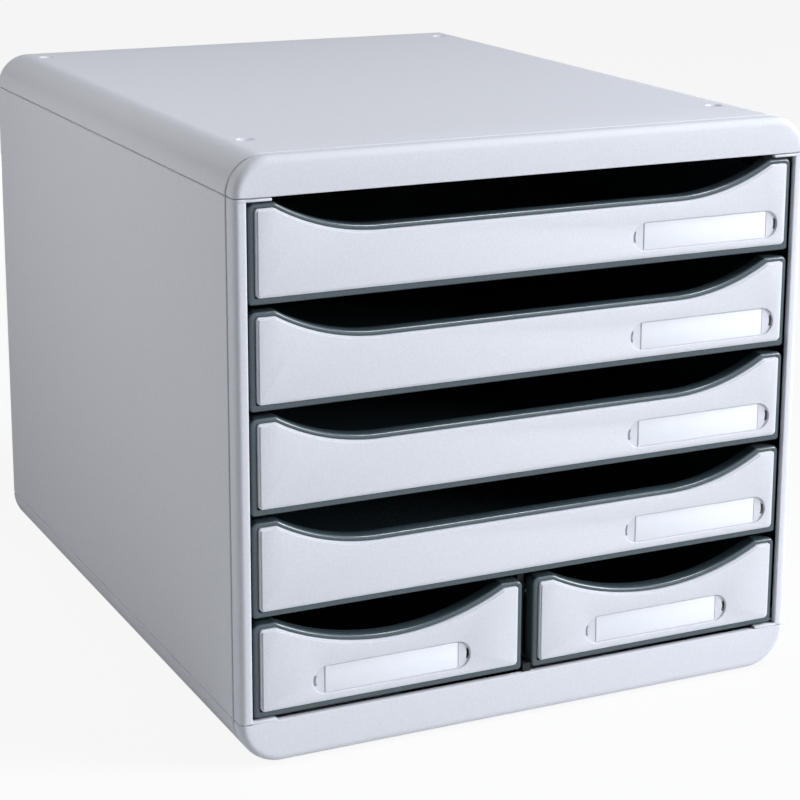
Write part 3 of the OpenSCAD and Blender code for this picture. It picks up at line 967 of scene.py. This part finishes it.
def make_floor():
    """Grey floor that looks nearly white where it is seen, and keeps the object's shadow."""
    bm = bmesh.new()
    bmesh.ops.create_grid(bm, x_segments=4, y_segments=4, size=FLOOR_SIZE / 2)
    mesh = bpy.data.meshes.new("floor")
    bm.to_mesh(mesh)
    bm.free()
    floor = bpy.data.objects.new("floor", mesh)
    bpy.context.scene.collection.objects.link(floor)
    material = bpy.data.materials.new("floor_white")
    material.use_nodes = True
    tree = material.node_tree
    shader = tree.nodes["Principled BSDF"]
    shader.inputs["Base Color"].default_value = FLOOR_COLOUR
    shader.inputs["Roughness"].default_value = FLOOR_ROUGH
    shader.inputs["Specular IOR Level"].default_value = 0.0
    glow = tree.nodes.new("ShaderNodeEmission")
    share = tree.nodes.new("ShaderNodeMath")
    share.operation = "MULTIPLY"
    share.inputs[1].default_value = FLOOR_WHITE
    tree.links.new(seen_directly(tree), share.inputs[0])
    mix = tree.nodes.new("ShaderNodeMixShader")
    tree.links.new(share.outputs[0], mix.inputs[0])
    tree.links.new(shader.outputs[0], mix.inputs[1])
    tree.links.new(glow.outputs[0], mix.inputs[2])
    tree.links.new(mix.outputs[0], tree.nodes["Material Output"].inputs["Surface"])
    mesh.materials.append(material)


def make_world():
    """Faint light from all round, and a white background where it is seen."""
    world = bpy.data.worlds.new("studio")
    bpy.context.scene.world = world
    world.use_nodes = True
    tree = world.node_tree
    ambient = tree.nodes["Background"]
    ambient.inputs["Color"].default_value = AMBIENT
    ambient.inputs["Strength"].default_value = AMBIENT_STRENGTH
    white = tree.nodes.new("ShaderNodeBackground")
    white.inputs["Color"].default_value = (1, 1, 1, 1)
    mix = tree.nodes.new("ShaderNodeMixShader")
    tree.links.new(seen_directly(tree), mix.inputs[0])
    tree.links.new(ambient.outputs[0], mix.inputs[1])
    tree.links.new(white.outputs[0], mix.inputs[2])
    tree.links.new(mix.outputs[0], tree.nodes["World Output"].inputs["Surface"])


def make_light(name, place, size, power, colour):
    """Square soft light turned to the object; the place and size are metres."""
    data = bpy.data.lights.new(name, "AREA")
    data.shape = "SQUARE"
    data.size = size
    data.energy = power
    data.color = colour
    light = bpy.data.objects.new(name, data)
    bpy.context.scene.collection.objects.link(light)
    light.visible_camera = False
    light.location = place
    light.rotation_mode = "QUATERNION"
    light.rotation_quaternion = (LIGHT_AIM - Vector(place)).to_track_quat("-Z", "Y")


# ---------- Camera ----------

# Fitted to the photograph: angles in radians, place, lens and sensor in millimetres, and the shift
# as a share of the picture's width
VIEW_YAW = 0.4513
VIEW_PITCH = 0.2381
VIEW_ROLL = 0.0054
VIEW_PLACE = Vector((-468.8, -1026.7, 433.3))
VIEW_LENS = 100.97
VIEW_SENSOR = 36.0
VIEW_SHIFT = (-0.0231, -0.125)


def make_camera():
    """The camera at the photograph's place, turned by the yaw, pitch and roll."""
    data = bpy.data.cameras.new("camera")
    data.lens = VIEW_LENS
    data.sensor_width = VIEW_SENSOR
    data.shift_x, data.shift_y = VIEW_SHIFT
    data.clip_start = 0.05
    data.clip_end = 50
    camera = bpy.data.objects.new("camera", data)
    bpy.context.scene.collection.objects.link(camera)
    bpy.context.scene.camera = camera
    up_axis = Vector((0, 0, 1))
    level = Vector((math.sin(VIEW_YAW), math.cos(VIEW_YAW), 0))
    right = Vector((math.cos(VIEW_YAW), -math.sin(VIEW_YAW), 0))
    ahead = level * math.cos(VIEW_PITCH) - up_axis * math.sin(VIEW_PITCH)
    up = up_axis * math.cos(VIEW_PITCH) + level * math.sin(VIEW_PITCH)
    x_axis = right * math.cos(VIEW_ROLL) + up * math.sin(VIEW_ROLL)
    y_axis = up * math.cos(VIEW_ROLL) - right * math.sin(VIEW_ROLL)
    turn = Matrix((x_axis, y_axis, -ahead)).transposed().to_4x4()
    camera.matrix_world = Matrix.Translation(VIEW_PLACE * MM) @ turn


make_floor()
make_world()
make_light("key", (1.9, -1.6, 0.95), size=1.0, power=73, colour=COOL)
make_light("side", (-0.68, 0.03, 0.48), size=0.35, power=1.75, colour=WARM)
make_light("overhead", (0.6, -0.5, 1.45), size=0.3, power=10.7, colour=COOL)
make_light("rear", (0.05, 1.4, 0.13), size=0.26, power=6, colour=WHITE)
make_camera()
bpy.context.scene.view_settings.view_transform = "Standard"
